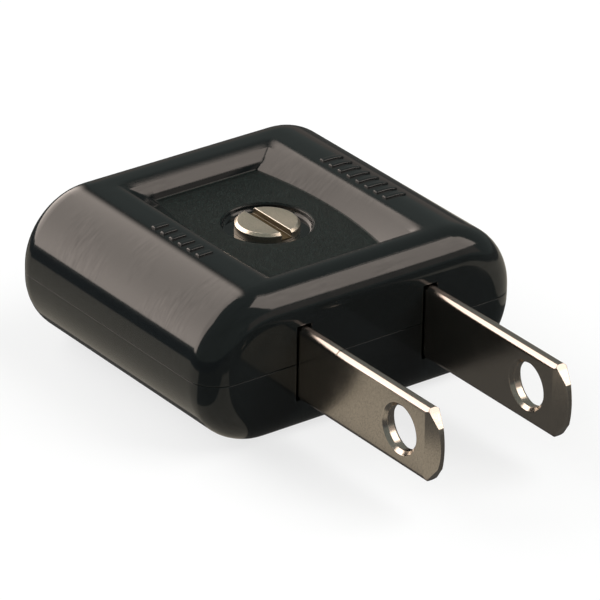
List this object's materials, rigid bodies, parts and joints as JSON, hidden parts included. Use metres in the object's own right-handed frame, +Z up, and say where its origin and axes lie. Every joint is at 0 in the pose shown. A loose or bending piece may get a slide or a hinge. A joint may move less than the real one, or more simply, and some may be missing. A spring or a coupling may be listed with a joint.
{
  "type": "electrical plug",
  "caption": "Flat two-pole adapter plug: a black two-shell body with finger recesses, flat metal blades at the front and round pin sockets at the back.",
  "frame": {"origin": "middle of the front face between the two blades, at the height where the two shells part", "axes": "-Y along the blades, away from the body; +Y into the body; +Z up, square to the flat top; X across the two blades"},
  "size_m": [0.0316, 0.0455, 0.0132],
  "materials": {
    "black_plastic": "gloss",
    "nickel": "satin",
    "brass": "satin",
    "spring_steel": "satin"
  },
  "bodies": {
    "root": {"upper_shell": "black_plastic", "lower_shell": "black_plastic", "left_blade": "nickel", "right_blade": "nickel", "closing_screw": "nickel", "closing_nut": "nickel", "left_sleeve": "brass", "right_sleeve": "brass", "left_rivet": "brass", "right_rivet": "brass", "left_clip": "spring_steel", "right_clip": "spring_steel"}
  },
  "joints": []
}
